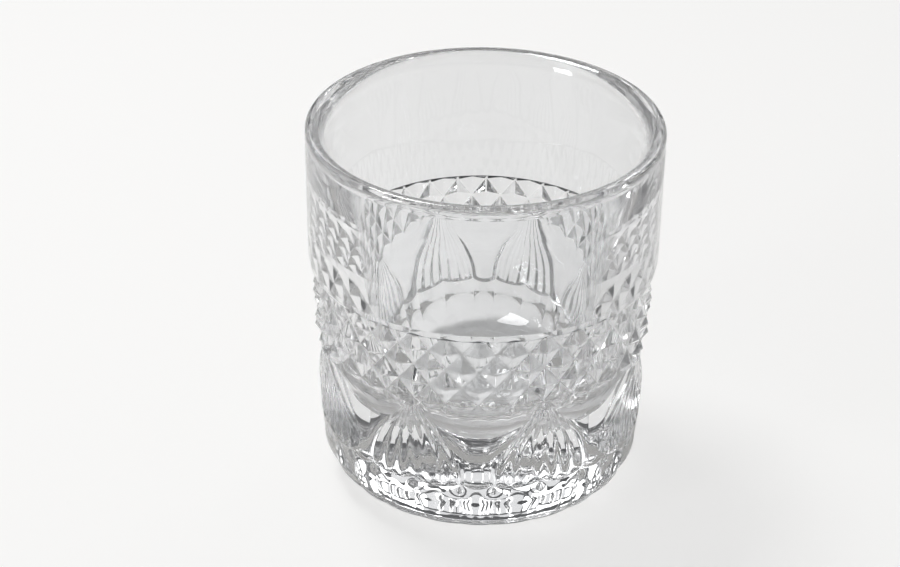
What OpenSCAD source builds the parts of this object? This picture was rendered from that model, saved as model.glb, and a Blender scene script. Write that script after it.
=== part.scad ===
// Pressed crystal tumbler: a one-piece glass with a smooth upper wall, a band of point-cut
// diamonds, a row of fans with scalloped ends, a rounded heel and a thick base.
// The resting face lies on z = 0 and the rim is at the top. Lengths are in millimetres.

/* [Glass] */
// Outer diameter at the rim
rim_d = 82; // [74:1:100]
// Full height
glass_h = 90; // [84:1:110]
// Thickness of the wall under the rim's rounding
rim_wall = 4.4; // [2:0.1:6]
// Radius of the rounding on the outside of the rim
rim_outer_r = 1.2; // [0.5:0.1:1.8]
// Height of the rounding on the inside of the rim
rim_inner_h = 4.4; // [2:0.1:6]

/* [Smooth upper wall] */
// Height from the rim to the lower edge of the smooth wall
smooth_h = 32; // [20:0.5:38]
// How far the smooth wall narrows from the rim to its lower edge, on the radius
smooth_taper = 0.3; // [0:0.1:2]
// Height of the bevel under the smooth wall
bevel_h = 1.8; // [0.8:0.1:3]
// How far the bevel goes in, on the radius
bevel_w = 0.3; // [0.2:0.1:2]

/* [Diamond band] */
// Diamonds over the width of one fan
diamonds_per_fan = 4; // [2:2:6]
// Whole diamonds one above the other
diamond_rows = 2; // [1:1:3]
// Height of one diamond
diamond_h = 9.2; // [6:0.1:11]
// Depth of the cuts between the diamonds
diamond_cut = 1.5; // [0.4:0.1:1.8]
// How far the points at the top of the band lie inside the bevel's foot
band_step = 0.3; // [0.3:0.1:1.5]
// How far the band narrows from its top to its foot, on the radius
band_taper = 0.7; // [0:0.1:2]
// How far the band runs up inside the bevel
band_lap = 0.3; // [0.1:0.1:0.6]

/* [Fans] */
// Number of fans around the glass
fan_count = 8; // [6:1:10]
// Flutes in each half of a fan
half_flutes = 3; // [2:1:4]
// Share of the pitch that a fan covers at its scalloped end
fan_spread_share = 0.74; // [0.6:0.01:0.85]
// Width of a fan at its point
fan_point_w = 1.6; // [0.8:0.1:3]
// Depth of the flutes
flute_cut = 0.5; // [0.3:0.1:1.8]
// How far the ridges between the flutes lie under the fan's edges
ridge_drop = 0.2; // [0:0.1:0.8]
// Depth of the plain panels between the fans
panel_cut = 1.5; // [0.3:0.1:1.8]
// Height over which the band turns into fans and panels
run_in_h = 1.3; // [0.6:0.1:3]
// Height of the scallop points above the resting face
scallop_h = 17; // [15:0.5:22]
// How far the scallops hang below their points
scallop_drop = 1.3; // [0.4:0.1:2]
// Height over which flutes and panels run out above the scallops
run_out_h = 1.6; // [1:0.1:4]

/* [Heel and foot] */
// Height of the rounded heel
heel_h = 11.5; // [8:0.5:13]
// How far the body narrows from the band to the top of the heel, on the radius
skirt_taper = 1.6; // [0.5:0.1:4]
// How far the foot's edge lies inside the top of the heel
heel_w = 10; // [6:0.1:13]
// Height of the foot's upright edge
foot_edge_h = 0.5; // [0.3:0.1:1.5]
// How far the upright edge is set in from the heel
foot_step = 0.4; // [0.2:0.1:1]
// Depth of the lobes that the scallops leave in the heel
lobe_cut = 0.8; // [0:0.1:1.5]
// Width of the ring that the glass rests on
rest_ring_w = 6; // [3:0.5:12]
// Depth of the hollow inside the resting ring
hollow_depth = 1; // [0.4:0.1:2]

/* [Inside] */
// Thickness of the base at the middle
base_t = 20; // [14:0.5:27]
// Thickness of the wall behind the cuts at the top of the band
band_wall = 6.4; // [3:0.1:9]
// Thickness of the wall behind the flutes where it turns into the floor
lower_wall = 9.8; // [5:0.1:13]
// Radius of the turn from wall to floor
floor_fillet_r = 18; // [3:0.5:20]

/* [Hidden] */
glass_colour = [0.90, 0.93, 0.95, 0.45];
arc_fn = 128;
// Overrun of the cutting shapes past the faces that they open
overrun = 5;

// Levels above the resting face
ring_z = glass_h - smooth_h;
band_top_z = ring_z - bevel_h;
half_diamond_h = diamond_h / 2;
half_rows = 2 * diamond_rows;
band_foot_z = band_top_z + band_lap - half_rows * half_diamond_h;
rim_start_z = glass_h - rim_inner_h;
rim_inner_w = rim_wall - rim_outer_r;

// Radii from the rim down to the foot
rim_r = rim_d / 2;
smooth_foot_r = rim_r - smooth_taper;
bevel_foot_r = smooth_foot_r - bevel_w;
band_top_r = bevel_foot_r - band_step;
band_foot_r = band_top_r - band_taper;
heel_top_r = band_foot_r - skirt_taper;
foot_r = heel_top_r - heel_w;

// Columns: the band has two per diamond. A fan has a ridge and a valley for each flute, and
// the columns of a panel start under those of the band.
pitch_columns = 2 * diamonds_per_fan;
band_columns = pitch_columns * fan_count;
fan_pitch = 360 / fan_count;
// A gap between two fans faces the front, which is a quarter turn back from the X axis
quarter_turn = 90;
pattern_turn = fan_pitch / 2 - quarter_turn;
scallop_steps = 2 * half_flutes;
fan_steps = 2 * scallop_steps;
panel_steps = pitch_columns;
pitch_steps = fan_steps + panel_steps;
skirt_columns = pitch_steps * fan_count;

// Rows of the fans from their points to the run-out, as shares of the way down, and the share
// of the full depth that flutes and panels have there
fan_row_shares = [0, 0.2, 0.45, 0.7, 1];
flute_depth_shares = [0.1, 0.5, 0.8, 0.95, 1];
panel_depth_shares = [1, 0.95, 0.85, 0.75, 0.65];
// Turns of the rim's roundings up to its top, in degrees
rim_turns = [0, 10, 20, 30, 40, 50, 60, 70, 80, 90];
// Turns of the heel up from the foot, in degrees, and the share of the lobes' depth there
heel_turns = [0, 18, 36, 54, 72, 90];
lobe_shares = [0, 0.3, 0.6, 0.85, 1, 1];
heel_foot_r = foot_r + foot_step;
point_spread = fan_point_w / (2 * band_foot_r) * 180 / PI;
end_spread = fan_pitch * fan_spread_share / 2;

function lerp(a, b, t) = a + (b - a) * t;

function ring_point(r, angle, z) = [r * cos(angle), r * sin(angle), z];

// Radius of the plain body that the pattern is cut into
function body_r(z) =
    z >= band_foot_z
    ? lerp(band_foot_r, band_top_r, (z - band_foot_z) / (band_top_z - band_foot_z))
    : lerp(heel_top_r, band_foot_r, (z - heel_h) / (band_foot_z - heel_h));

// Two triangles between a lower edge a-b and the edge c-d over it. The two halves of a fan
// and of a panel mirror each other.
function leans_left(step) =
    step < scallop_steps || (step >= fan_steps && step < fan_steps + panel_steps / 2);

function quad(a, b, c, d, left) =
    left ? [[a, c, b], [b, c, d]] : [[a, c, d], [a, d, b]];

// The wall between a row of points, from its first one, and the row over it
function row_wall(first) = [
    for (i = [0 : skirt_columns - 1])
        let (a = first + i, b = first + (i + 1) % skirt_columns)
        each quad(a, b, a + skirt_columns, b + skirt_columns, leans_left(i % pitch_steps))
];

function row_cap(first, count, up) = [
    for (i = [0 : count - 1]) first + (up ? i : count - 1 - i)
];

// Place of a column across its fan, its panel or the scallop that it ends in, from -1 to 1
function in_fan(step) = step <= fan_steps;
function fan_place(step) = step / scallop_steps - 1;
function panel_place(step) = 2 * (step - fan_steps) / panel_steps - 1;
function scallop_place(step) =
    in_fan(step)
    ? 2 * (step % scallop_steps) / scallop_steps - 1
    : panel_place(step);

function scallop_z(step) =
    scallop_h - scallop_drop * (1 - pow(scallop_place(step), 2));

// Angle of a column, from the fans' points at share 0 to the scallops at share 1
function column_angle(step, share) =
    let (spread = lerp(point_spread, end_spread, share))
    in_fan(step)
    ? fan_place(step) * spread
    : lerp(step == fan_steps ? point_spread : (step - fan_steps) * fan_pitch / panel_steps,
        lerp(end_spread, fan_pitch - end_spread, (step - fan_steps) / panel_steps), share);

function cut_depth(step, row) =
    step == 0 || step == fan_steps ? 0
    : !in_fan(step) ? panel_cut * panel_depth_shares[row] * (1 - pow(panel_place(step), 2))
    : (step % 2 == 1 ? flute_cut : ridge_drop) * flute_depth_shares[row];

// The diamonds: points and crossings of the cuts alternate like a chequerboard
function is_point(column, row) = (column + row) % 2 == 1;

band_points = [
    for (row = [0 : half_rows], column = [0 : band_columns - 1])
        let (z = band_foot_z + row * half_diamond_h)
        ring_point(body_r(z) - (is_point(column, row) ? 0 : diamond_cut),
            column * 360 / band_columns, z)
];

function band_at(column, row) = row * band_columns + (column + band_columns) % band_columns;

band_facets = [
    for (row = [0 : half_rows], column = [0 : band_columns - 1])
        if (is_point(column, row))
            let (
                p = band_at(column, row),
                left = band_at(column - 1, row),
                right = band_at(column + 1, row),
                over = band_at(column, row + 1),
                under = band_at(column, row - 1)
            )
            each concat(
                row < half_rows ? [[p, over, right], [p, left, over]] : [],
                row > 0 ? [[p, right, under], [p, under, left]] : []
            )
];

// Heel, scallops and fans, row by row from the foot to the fans' points
skirt_steps = [
    for (fan = [0 : fan_count - 1], step = [0 : pitch_steps - 1]) [fan * fan_pitch, step]
];

heel_points = [
    for (row = [0 : len(heel_turns) - 1], c = skirt_steps)
        let (
            turn = heel_turns[row],
            lobe = lobe_cut * lobe_shares[row] * pow(scallop_place(c[1]), 2)
        )
        ring_point(lerp(heel_foot_r, heel_top_r, sin(turn)) - lobe,
            c[0] + column_angle(c[1], 1),
            lerp(heel_h, foot_edge_h, cos(turn)))
];

scallop_points = [
    for (c = skirt_steps)
        let (z = scallop_z(c[1]))
        ring_point(body_r(z), c[0] + column_angle(c[1], 1), z)
];

fan_points = [
    for (row = [len(fan_row_shares) - 1 : -1 : 0], c = skirt_steps)
        let (
            share = fan_row_shares[row],
            z = lerp(band_foot_z - run_in_h, scallop_z(c[1]) + run_out_h, share)
        )
        ring_point(body_r(z) - cut_depth(c[1], row),
            c[0] + column_angle(c[1], sin(quarter_turn * share)), z)
];

skirt_points = concat(heel_points, scallop_points, fan_points);
skirt_rows = len(skirt_points) / skirt_columns;
skirt_top = (skirt_rows - 1) * skirt_columns;

// Between the fans and the band: a fan's points all meet one crossing of the band's cuts,
// and each panel column meets the band column over it
function band_over(fan, step) =
    len(skirt_points) + (fan * pitch_columns + (in_fan(step) ? 0 : step - fan_steps)) % band_columns;

seam_facets = [
    for (fan = [0 : fan_count - 1], step = [0 : pitch_steps - 1])
        let (
            a = skirt_top + fan * pitch_steps + step,
            b = skirt_top + (fan * pitch_steps + step + 1) % skirt_columns,
            over_a = band_over(fan, step),
            over_b = step + 1 < pitch_steps ? band_over(fan, step + 1) : band_over(fan + 1, 0)
        )
        each over_a == over_b ? [[a, over_a, b]] : quad(a, b, over_a, over_b, leans_left(step))
];

// The patterned part of the glass, from the foot's edge to the bevel
module patterned_body() {
    band_first = len(skirt_points);
    rotate([0, 0, pattern_turn]) polyhedron(concat(skirt_points, band_points), concat(
        [for (row = [0 : skirt_rows - 2]) each row_wall(row * skirt_columns)],
        seam_facets,
        [for (facet = band_facets) [for (i = facet) band_first + i]],
        [row_cap(0, skirt_columns, true)],
        [row_cap(band_first + half_rows * band_columns, band_columns, false)]));
}

// The smooth wall over the band, with the bevel under it
module upper_wall() {
    rotate_extrude($fn = arc_fn)
        polygon([[0, band_top_z], [bevel_foot_r, band_top_z], [smooth_foot_r, ring_z],
            [rim_r, rim_start_z], [0, rim_start_z]]);
}

// The rim's tight rounding outside and its long one inside meet at the top
module rounded_rim() {
    top_r = rim_r - rim_outer_r;
    rotate_extrude($fn = arc_fn)
        polygon(concat(
            [[top_r - rim_inner_w, rim_start_z], [rim_r, rim_start_z]],
            [for (turn = rim_turns)
                [top_r + rim_outer_r * cos(turn), glass_h - rim_outer_r * (1 - sin(turn))]],
            [for (i = [len(rim_turns) - 2 : -1 : 1]) let (turn = rim_turns[i])
                [top_r - rim_inner_w * cos(turn), rim_start_z + rim_inner_h * sin(turn)]]));
}

// The space inside: a tapered wall, a rounded turn and a flat floor. Its radius follows the
// outside at three levels, with a wall of its own thickness at each.
module inside() {
    mouth_r = rim_r - rim_wall;
    band_r = band_top_r - diamond_cut - band_wall;
    turn_z = base_t + floor_fillet_r;
    turn_r = body_r(turn_z) - flute_cut - lower_wall;
    flat_r = turn_r - floor_fillet_r;
    open_z = rim_start_z + overrun;
    rotate_extrude($fn = arc_fn) {
        polygon([[0, base_t], [flat_r, base_t], [flat_r, turn_z], [turn_r, turn_z],
            [band_r, band_top_z], [mouth_r, rim_start_z], [mouth_r, open_z], [0, open_z]]);
        intersection() {
            translate([flat_r, turn_z]) circle(r = floor_fillet_r, $fn = arc_fn);
            translate([0, base_t]) square([turn_r, floor_fillet_r]);
        }
    }
}

// The shallow hollow under the base, which leaves the ring that the glass rests on
module base_hollow() {
    edge_r = foot_r - rest_ring_w;
    ball_r = (edge_r * edge_r + hollow_depth * hollow_depth) / (2 * hollow_depth);
    translate([0, 0, hollow_depth - ball_r]) sphere(r = ball_r, $fn = arc_fn);
}

module tumbler_glass() {
    color(glass_colour) union() {
        difference() {
            union() {
                upper_wall();
                patterned_body();
                cylinder(h = base_t, r = foot_r, $fn = arc_fn);
            }
            inside();
            base_hollow();
        }
        rounded_rim();
    }
}

tumbler_glass();
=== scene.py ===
"""Looks of the crystal tumbler: the detailed glass, its material, floor, light and camera.

The glass is one closed mesh. It is made row by row, from the middle of the foot out and up
over the pattern, over the rim and down the inside to the middle of the floor. The columns of
the heel and the fans follow the flutes, those of the band and of the round parts are even.
Lengths of the shape are millimetres, heights are above the resting face, and turns are degrees.
"""
import math

import bpy
import numpy as np
from mathutils import Matrix, Vector


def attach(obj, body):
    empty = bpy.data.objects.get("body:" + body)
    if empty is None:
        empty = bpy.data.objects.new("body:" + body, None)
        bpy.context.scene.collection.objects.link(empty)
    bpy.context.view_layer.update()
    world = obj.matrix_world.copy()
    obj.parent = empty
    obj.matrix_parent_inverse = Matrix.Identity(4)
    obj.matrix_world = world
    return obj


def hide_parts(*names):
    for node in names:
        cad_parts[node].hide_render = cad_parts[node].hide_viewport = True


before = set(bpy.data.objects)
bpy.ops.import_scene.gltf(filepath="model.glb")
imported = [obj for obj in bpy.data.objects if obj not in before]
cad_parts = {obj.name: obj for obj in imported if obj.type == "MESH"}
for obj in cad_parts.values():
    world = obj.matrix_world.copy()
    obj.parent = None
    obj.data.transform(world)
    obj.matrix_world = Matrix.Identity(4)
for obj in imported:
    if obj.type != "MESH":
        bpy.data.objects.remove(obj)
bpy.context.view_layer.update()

MM = 0.001

# Driving dimensions, with the values of the part's source
RIM_D = 82.0
GLASS_H = 90.0
RIM_WALL = 4.4
RIM_OUTER_R = 1.2
RIM_INNER_H = 4.4
SMOOTH_H = 32.0
SMOOTH_TAPER = 0.3
BEVEL_H = 1.8
BEVEL_W = 0.3
DIAMONDS_PER_FAN = 4
DIAMOND_ROWS = 2
DIAMOND_H = 9.2
DIAMOND_CUT = 1.5
BAND_STEP = 0.3
BAND_TAPER = 0.7
BAND_LAP = 0.3
FANS = 8
HALF_FLUTES = 3
FAN_SPREAD_SHARE = 0.74
FLUTE_CUT = 0.5
RIDGE_DROP = 0.2
PANEL_CUT = 1.5
RUN_IN_H = 1.3
SCALLOP_Z = 17.0
SCALLOP_DROP = 1.3
RUN_OUT_H = 1.6
HEEL_H = 11.5
SKIRT_TAPER = 1.6
HEEL_W = 10.0
FOOT_EDGE_H = 0.5
FOOT_STEP = 0.4
LOBE_CUT = 0.8
REST_RING_W = 6.0
HOLLOW_DEPTH = 1.0
FLOOR_Z = 20.0
FLOOR_FILLET_R = 18.0
# Inside radius where the wall turns into the floor, which the source works out from its walls
FLOOR_WALL_R = 29.1

# Values of this detailed glass, where the source has coarser forms or none: half the turn that
# a fan's point covers, the growth of the flutes from the point to the scallops, how square the
# ridges and panels are across, how much of a panel's depth is lost towards its foot, the turn
# where the heel starts, how soon the lobes are full, and the rounding of the foot's edge
POINT_SPREAD = 1.2
FLUTE_WAY_SHARES = [0, 0.1, 0.3, 0.65, 1]
FLUTE_GROWTH_SHARES = [0.05, 0.3, 0.7, 0.95, 1]
RIDGE_POWER = 6
PANEL_POWER = 3
PANEL_FADE_SHARE = 0.35
HEEL_START_TURN = 4
LOBE_GROWTH = 1.2
FOOT_ROUND_R = 0.4
FOOT_ROUND_TURNS = (20, 45, 70, 90)

# Levels, radii and turns worked out from the driving dimensions
RIM_R = RIM_D / 2
RING_Z = GLASS_H - SMOOTH_H
BAND_TOP_Z = RING_Z - BEVEL_H
HALF_DIAMOND_H = DIAMOND_H / 2
BAND_FOOT_Z = BAND_TOP_Z + BAND_LAP - DIAMOND_ROWS * DIAMOND_H
SMOOTH_FOOT_R = RIM_R - SMOOTH_TAPER
BEVEL_FOOT_R = SMOOTH_FOOT_R - BEVEL_W
BAND_TOP_R = BEVEL_FOOT_R - BAND_STEP
BAND_FOOT_R = BAND_TOP_R - BAND_TAPER
HEEL_TOP_R = BAND_FOOT_R - SKIRT_TAPER
FOOT_R = HEEL_TOP_R - HEEL_W
HEEL_FOOT_R = FOOT_R + FOOT_STEP
HOLLOW_R = FOOT_R - REST_RING_W
PITCH = 360 / FANS
END_SPREAD = PITCH * FAN_SPREAD_SHARE / 2
HALF_DIAMOND_TURN = PITCH / (2 * DIAMONDS_PER_FAN)
# A gap between two fans faces the front
PATTERN_TURN = PITCH / 2 - 90

# Mesh: columns round the glass, rows of each part, the distance of the rows beside an edge
# that keep it crisp, and the radius of the innermost ring of points
ROUND_COLUMNS = 512
CELLS_PER_HALF_DIAMOND = 16
FLUTE_COLUMNS = 16
HALF_PANEL_COLUMNS = 24
HOLLOW_ROWS = 12
HEEL_ROWS = 34
SKIRT_ROWS = 18
FAN_ROWS = 90
FAN_ROW_POWER = 1.15
BEVEL_ROWS = 2
SMOOTH_ROWS = 10
RIM_SIDE_ROWS = 5
RIM_ROWS = 18
INSIDE_ROWS = 24
FILLET_ROWS = 22
FLOOR_ROWS = 12
EDGE_ROW = 0.1
MIDDLE_R = 1.0

round_angle = np.arange(ROUND_COLUMNS) * 360 / ROUND_COLUMNS
band_column = np.arange(round(360 / HALF_DIAMOND_TURN) * CELLS_PER_HALF_DIAMOND)
band_angle = band_column * HALF_DIAMOND_TURN / CELLS_PER_HALF_DIAMOND

# Columns of a fan and a panel: steps from the fan's middle, the share of the way out to the
# fan's edge, and the share of the way from the panel's middle to that edge. A scallop is as
# wide as half a fan or as a panel; its place is 0 at its middle and 1 or -1 at its ends.
half_fan_columns = HALF_FLUTES * FLUTE_COLUMNS
half_pitch_columns = half_fan_columns + HALF_PANEL_COLUMNS
step = np.arange(2 * half_pitch_columns)
steps_off = np.minimum(step, len(step) - step)
in_fan = steps_off <= half_fan_columns
fan_share = np.clip(steps_off / half_fan_columns, 0, 1)
gap_share = np.clip((half_pitch_columns - steps_off) / HALF_PANEL_COLUMNS, 0, 1)
scallop_place = np.where(in_fan, 2 * fan_share - 1, gap_share)
scallop_z = SCALLOP_Z - SCALLOP_DROP * (1 - scallop_place ** 2)
skirt_lean = np.tile(step < half_pitch_columns, FANS)


def lerp(a, b, share):
    return a + (b - a) * share


def smooth(share):
    share = np.clip(share, 0, 1)
    return share * share * (3 - 2 * share)


def body_r(z):
    """Radius of the plain body that the pattern is cut into."""
    band_share = (z - BAND_FOOT_Z) / (BAND_TOP_Z - BAND_FOOT_Z)
    skirt_share = (z - HEEL_H) / (BAND_FOOT_Z - HEEL_H)
    return np.where(z >= BAND_FOOT_Z, lerp(BAND_FOOT_R, BAND_TOP_R, band_share),
                    lerp(HEEL_TOP_R, BAND_FOOT_R, skirt_share))


def diamond_depth(turn, z):
    """Depth under the points, from two crossing families of V cuts."""
    across = turn / HALF_DIAMOND_TURN
    up = (z - BAND_FOOT_Z) / HALF_DIAMOND_H
    to_cut = [np.abs((family + 1) % 2 - 1) for family in (across + up, across - up)]
    return DIAMOND_CUT * (1 - np.minimum(*to_cut))


def skirt_angle(share):
    """Angles of one pitch's columns, from the fans' points to their scalloped ends."""
    spread = lerp(POINT_SPREAD, END_SPREAD, np.sin(share * math.pi / 2))
    off = np.where(in_fan, fan_share * spread, PITCH / 2 - gap_share * (PITCH / 2 - spread))
    return np.where(step <= half_pitch_columns, off, PITCH - off)


def fan_depth(share):
    """Depth of the flutes of a fan and of the plain panels between the fans."""
    in_flute = fan_share * HALF_FLUTES % 1
    growth_share = np.interp(share, FLUTE_WAY_SHARES, FLUTE_GROWTH_SHARES)
    ridge = RIDGE_DROP * (1 - fan_share ** RIDGE_POWER)
    flutes = growth_share * (ridge + FLUTE_CUT * (1 - np.cos(2 * math.pi * in_flute)) / 2)
    panels = PANEL_CUT * (1 - PANEL_FADE_SHARE * share) * (1 - gap_share ** PANEL_POWER)
    return np.where(in_fan, flutes, panels)


rows = []


def add_row(r, z, turn=round_angle, lean=True):
    """A row of points; lean says which way the faces over it are split."""
    row = [np.broadcast_to(np.asarray(item), turn.shape) for item in (r, z, lean)]
    rows.append((turn, *row))


def add_skirt_row(r, z, share):
    """A row whose columns follow the flutes, the same in every pitch."""
    turn = np.concatenate([skirt_angle(share) + fan * PITCH for fan in range(FANS)])
    row = [np.tile(np.broadcast_to(np.asarray(item, float), len(step)), FANS) for item in (r, z)]
    add_row(*row, turn, skirt_lean)


def add_line(start, end, count, edge=0.12):
    """Rows from one (r, z) to another, with a close pair at each end to keep the edge."""
    near_share = edge / math.dist(start, end)
    for share in [0, *np.linspace(near_share, 1 - near_share, count + 2), 1]:
        add_row(lerp(start[0], end[0], share), lerp(start[1], end[1], share))


def add_foot():
    """A shallow hollow, the ring that the glass rests on, and its rounded edge."""
    ball_r = (HOLLOW_R ** 2 + HOLLOW_DEPTH ** 2) / (2 * HOLLOW_DEPTH)
    spaced = list(np.linspace(MIDDLE_R, HOLLOW_R - 3 * EDGE_ROW, HOLLOW_ROWS))
    for r in spaced + [HOLLOW_R - EDGE_ROW]:
        add_row(r, HOLLOW_DEPTH - ball_r + math.sqrt(ball_r ** 2 - r * r))
    round_start_r = FOOT_R - FOOT_ROUND_R
    for r in (HOLLOW_R + EDGE_ROW / 2, HOLLOW_R + 3 * EDGE_ROW, HOLLOW_R + REST_RING_W / 2,
              round_start_r - 3 * EDGE_ROW, round_start_r - EDGE_ROW / 2):
        add_row(r, 0)
    for turn in FOOT_ROUND_TURNS:
        lift = math.radians(turn)
        add_row(round_start_r + FOOT_ROUND_R * math.sin(lift), FOOT_ROUND_R * (1 - math.cos(lift)))


def add_heel_and_skirt():
    """The heel with a lobe under each scallop, and the wall up to the scallops' edge."""
    lobe = LOBE_CUT * scallop_place ** 2
    for i in range(HEEL_ROWS + 1):
        lift = math.radians(lerp(HEEL_START_TURN, 90, i / HEEL_ROWS))
        share = smooth(i / HEEL_ROWS * LOBE_GROWTH)
        add_skirt_row(lerp(HEEL_FOOT_R, HEEL_TOP_R, math.sin(lift)) - share * lobe,
                      lerp(HEEL_H, FOOT_EDGE_H, math.cos(lift)), 1)
    for i in range(1, SKIRT_ROWS):
        share = i / SKIRT_ROWS
        z = lerp(HEEL_H, scallop_z, share)
        add_skirt_row(body_r(z) - lobe * (1 - smooth(share)), z, 1)


def add_fans():
    """Fans and panels, from the scallops' edge to the band."""
    for i in range(FAN_ROWS):
        up_share = (i / FAN_ROWS) ** FAN_ROW_POWER
        down_share = 1 - up_share
        z = lerp(scallop_z, BAND_FOOT_Z, up_share)
        run_out_share = np.sqrt(1 - (1 - np.clip((z - scallop_z) / RUN_OUT_H, 0, 1)) ** 2)
        run_in_share = np.clip((BAND_FOOT_Z - z) / RUN_IN_H, 0, 1)
        band_depth = diamond_depth(skirt_angle(down_share), BAND_FOOT_Z)
        depth = lerp(band_depth, fan_depth(down_share) * run_out_share, run_in_share)
        add_skirt_row(body_r(z) - depth, z, down_share)


def add_band():
    """The diamonds; the last row is cut off level with the bevel."""
    cells = round((BAND_TOP_Z - BAND_FOOT_Z) / HALF_DIAMOND_H * CELLS_PER_HALF_DIAMOND)
    for i in range(cells + 1):
        z = BAND_FOOT_Z + i * HALF_DIAMOND_H / CELLS_PER_HALF_DIAMOND
        square = band_column // CELLS_PER_HALF_DIAMOND + i // CELLS_PER_HALF_DIAMOND
        add_row(body_r(z) - diamond_depth(band_angle, z), min(z, BAND_TOP_Z), band_angle,
                square % 2 == 1)


def add_upper_wall_and_rim():
    """Bevel, smooth wall, and the rim with its tight rounding outside and long one inside."""
    rim_start_z = GLASS_H - RIM_INNER_H
    rim_top_r = RIM_R - RIM_OUTER_R
    add_line((BEVEL_FOOT_R, BAND_TOP_Z), (SMOOTH_FOOT_R, RING_Z), BEVEL_ROWS)
    add_line((SMOOTH_FOOT_R, RING_Z + EDGE_ROW / 2), (RIM_R, rim_start_z), SMOOTH_ROWS)
    for z in np.linspace(rim_start_z, GLASS_H - RIM_OUTER_R, RIM_SIDE_ROWS)[1:]:
        add_row(RIM_R, z)
    lifts = np.linspace(0, math.pi / 2, RIM_ROWS)[1:]
    for lift in lifts:
        add_row(rim_top_r + RIM_OUTER_R * math.cos(lift),
                GLASS_H - RIM_OUTER_R * (1 - math.sin(lift)))
    for lift in lifts[:-1]:
        add_row(rim_top_r - (RIM_WALL - RIM_OUTER_R) * math.sin(lift),
                rim_start_z + RIM_INNER_H * math.cos(lift))


def add_inside():
    """Inside wall, its turn and the floor."""
    turn_z = FLOOR_Z + FLOOR_FILLET_R
    add_line((RIM_R - RIM_WALL, GLASS_H - RIM_INNER_H), (FLOOR_WALL_R, turn_z), INSIDE_ROWS)
    for lift in np.linspace(0, math.pi / 2, FILLET_ROWS)[1:]:
        add_row(FLOOR_WALL_R - FLOOR_FILLET_R * (1 - math.cos(lift)),
                turn_z - FLOOR_FILLET_R * math.sin(lift))
    for r in np.linspace(FLOOR_WALL_R - FLOOR_FILLET_R, MIDDLE_R, FLOOR_ROWS)[1:]:
        add_row(r, FLOOR_Z)


def grid_faces(first, count, lean):
    """Two triangles over each column, between two rows with the same number of columns."""
    a = first + np.arange(count)
    b = first + (np.arange(count) + 1) % count
    c, d = a + count, b + count
    pick = lean[:, None]
    return [np.where(pick, np.stack([a, b, c], 1), np.stack([a, b, d], 1)),
            np.where(pick, np.stack([b, d, c], 1), np.stack([a, d, c], 1))]


def zip_faces(first, under, over):
    """Triangles between two rows with different columns, in the order of their angles."""
    faces = []
    a_next, b_next = np.append(under[1:], 360), np.append(over[1:], 360)
    a = b = 0
    while a < len(under) or b < len(over):
        a_here, b_here = first + a % len(under), first + len(under) + b % len(over)
        if b == len(over) or (a < len(under) and a_next[a] <= b_next[b]):
            a += 1
            faces.append((a_here, first + a % len(under), b_here))
        else:
            b += 1
            faces.append((a_here, first + len(under) + b % len(over), b_here))
    return [np.array(faces)]


def make_mesh(name):
    """Vertices of all rows and of the two middle points, joined by triangles."""
    points, faces = [], []
    first = 0
    for i, (turn, r, z, lean) in enumerate(rows):
        way = np.radians(turn + PATTERN_TURN)
        points.append(np.stack([r * np.cos(way), r * np.sin(way), z], axis=1))
        if i + 1 < len(rows):
            over = rows[i + 1][0]
            faces += (grid_faces(first, len(turn), lean) if len(over) == len(turn)
                      else zip_faces(first, turn, over))
            first += len(turn)
    points = np.concatenate(points + [np.array([[0, 0, HOLLOW_DEPTH], [0, 0, FLOOR_Z]])]) * MM
    foot, floor = len(points) - 2, len(points) - 1
    here = np.arange(ROUND_COLUMNS)
    after = (here + 1) % ROUND_COLUMNS
    faces.append(np.stack([after, here, np.full(ROUND_COLUMNS, foot)], 1))
    faces.append(np.stack([first + here, first + after, np.full(ROUND_COLUMNS, floor)], 1))
    faces = np.concatenate(faces)
    mesh = bpy.data.meshes.new(name)
    mesh.vertices.add(len(points))
    mesh.vertices.foreach_set("co", points.ravel())
    mesh.loops.add(faces.size)
    mesh.loops.foreach_set("vertex_index", faces.ravel())
    mesh.polygons.add(len(faces))
    mesh.polygons.foreach_set("loop_start", np.arange(len(faces)) * 3)
    mesh.polygons.foreach_set("use_smooth", np.ones(len(faces), bool))
    mesh.update(calc_edges=True)
    mesh.validate()
    return mesh


def glass_material():
    """Clear polished crystal with the faint waves of pressed glass."""
    material = bpy.data.materials.new("clear_crystal")
    material.use_nodes = True
    nodes, links = material.node_tree.nodes, material.node_tree.links
    shader = nodes["Principled BSDF"]
    shader.inputs["Base Color"].default_value = (0.955, 0.96, 0.968, 1)
    shader.inputs["Roughness"].default_value = 0.0
    shader.inputs["IOR"].default_value = 1.53
    shader.inputs["Transmission Weight"].default_value = 1.0
    place = nodes.new("ShaderNodeTexCoord")
    waves = nodes.new("ShaderNodeTexNoise")
    waves.inputs["Scale"].default_value = 90
    waves.inputs["Detail"].default_value = 1.0
    bump = nodes.new("ShaderNodeBump")
    bump.inputs["Strength"].default_value = 0.15
    bump.inputs["Distance"].default_value = 0.0004
    links.new(place.outputs["Object"], waves.inputs["Vector"])
    links.new(waves.outputs["Fac"], bump.inputs["Height"])
    links.new(bump.outputs["Normal"], shader.inputs["Normal"])
    return material


def make_glass():
    """The detailed glass, which stands for the part's one node."""
    glass = bpy.data.objects.new("tumbler", make_mesh("tumbler"))
    bpy.context.scene.collection.objects.link(glass)
    glass.data.materials.append(glass_material())
    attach(glass, "root")
    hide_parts("tumbler_glass")


def add_math(tree, operation, first, second):
    """A clamped sum, product or the like of two outputs, or of an output and a number."""
    node = tree.nodes.new("ShaderNodeMath")
    node.operation = operation
    node.use_clamp = True
    for socket, item in zip(node.inputs, (first, second)):
        if isinstance(item, float):
            socket.default_value = item
        else:
            tree.links.new(item, socket)
    return node.outputs[0]


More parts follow.
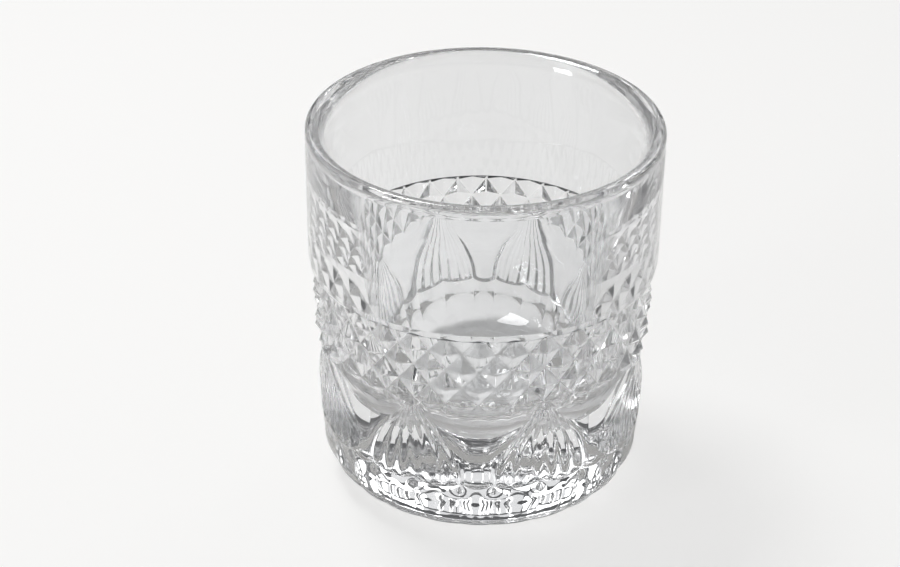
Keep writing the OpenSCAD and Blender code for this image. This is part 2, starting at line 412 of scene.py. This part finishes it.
def floor_material():
    """Pale floor that keeps shadows, brighter where it is seen directly or through the glass."""
    camera_share, seen_share = 0.55, 0.18
    material = bpy.data.materials.new("pale_floor")
    material.use_nodes = True
    tree = material.node_tree
    nodes, links = tree.nodes, tree.links
    shader = nodes["Principled BSDF"]
    shader.inputs["Base Color"].default_value = (0.84, 0.835, 0.82, 1)
    shader.inputs["Roughness"].default_value = 0.6
    glow = nodes.new("ShaderNodeEmission")
    glow.inputs["Color"].default_value = (0.98, 0.976, 0.968, 1)
    ray = nodes.new("ShaderNodeLightPath").outputs
    in_glass = add_math(tree, "ADD", ray["Is Glossy Ray"], ray["Is Transmission Ray"])
    seen = add_math(tree, "MAXIMUM", in_glass, ray["Is Camera Ray"])
    glow_share = add_math(tree, "ADD",
                          add_math(tree, "MULTIPLY", ray["Is Camera Ray"], camera_share),
                          add_math(tree, "MULTIPLY", seen, seen_share))
    mix = nodes.new("ShaderNodeMixShader")
    links.new(glow_share, mix.inputs["Fac"])
    links.new(shader.outputs["BSDF"], mix.inputs[1])
    links.new(glow.outputs["Emission"], mix.inputs[2])
    links.new(mix.outputs["Shader"], nodes["Material Output"].inputs["Surface"])
    return material


def make_floor():
    """A round floor that fills the photograph's view; its radius is in metres."""
    radius, corners = 0.9, 96
    turns = [2 * math.pi * i / corners for i in range(corners)]
    mesh = bpy.data.meshes.new("floor")
    mesh.from_pydata([(radius * math.cos(turn), radius * math.sin(turn), 0) for turn in turns],
                     [], [tuple(range(corners))])
    floor = bpy.data.objects.new("floor", mesh)
    bpy.context.scene.collection.objects.link(floor)
    mesh.materials.append(floor_material())


def add_lamp(name, place, aim, size, power):
    """A soft rectangular lamp; place, aim and size in metres, power in watts."""
    data = bpy.data.lights.new(name, "AREA")
    data.shape = "RECTANGLE"
    data.size, data.size_y = size
    data.energy = power
    lamp = bpy.data.objects.new(name, data)
    lamp.location = place
    lamp.rotation_euler = (Vector(aim) - Vector(place)).to_track_quat("-Z", "Y").to_euler()
    bpy.context.scene.collection.objects.link(lamp)


def make_world():
    """Plain dark grey studio, which gives the glass its darker edges."""
    world = bpy.data.worlds.new("studio")
    world.use_nodes = True
    shade = world.node_tree.nodes["Background"]
    shade.inputs["Color"].default_value = (0.08, 0.082, 0.086, 1)
    shade.inputs["Strength"].default_value = 1.0
    bpy.context.scene.world = world


def make_camera():
    """The photograph's view, fitted to the rim, the ring and the foot; lengths in metres."""
    rise, roll, orbit = math.radians(30.3), math.radians(0.7), math.radians(1.5)
    aim, distance = Vector((-0.00764, 0, 0.0477)), 0.610
    focal_px, width_px, sensor_mm = 2600, 900, 36
    ahead = Vector((0, math.cos(rise), -math.sin(rise)))
    level_right = Vector((1, 0, 0))
    level_up = level_right.cross(ahead)
    right = math.cos(roll) * level_right + math.sin(roll) * level_up
    up = math.cos(roll) * level_up - math.sin(roll) * level_right
    matrix = Matrix((right, up, -ahead)).transposed().to_4x4()
    matrix.translation = aim - distance * ahead
    data = bpy.data.cameras.new("camera")
    data.sensor_width = sensor_mm
    data.lens = focal_px / width_px * sensor_mm
    data.clip_start = 0.01
    camera = bpy.data.objects.new("camera", data)
    camera.matrix_world = Matrix.Rotation(orbit, 4, "Z") @ matrix
    bpy.context.scene.collection.objects.link(camera)
    bpy.context.scene.camera = camera


add_foot()
add_heel_and_skirt()
add_fans()
add_band()
add_upper_wall_and_rim()
add_inside()
make_glass()
make_floor()
make_world()
add_lamp("soft_top", (-0.25, 0.2, 0.75), (0, 0, 0), (0.25, 0.25), 4.6)
add_lamp("soft_left", (-0.85, -0.6, 0.3), (0, 0, 0.05), (0.25, 0.5), 3.5)
# Three lamps behind the glass, for light through its facets
add_lamp("back_left", (-0.44, 0.865, 0.705), (0, 0, 0.02), (0.4, 0.3), 1.1)
add_lamp("back_right", (0.456, 0.857, 0.705), (0, 0, 0.02), (0.4, 0.3), 1.1)
add_lamp("back_mid", (0.02, 0.97, 0.705), (0, 0, 0.02), (0.5, 0.3), 0.35)
make_camera()
# A ray meets many walls of thick glass, and reflections inside it count as glossy
cycles = bpy.context.scene.cycles
cycles.max_bounces = cycles.transmission_bounces = cycles.glossy_bounces = 32
bpy.context.scene.view_settings.view_transform = "Standard"
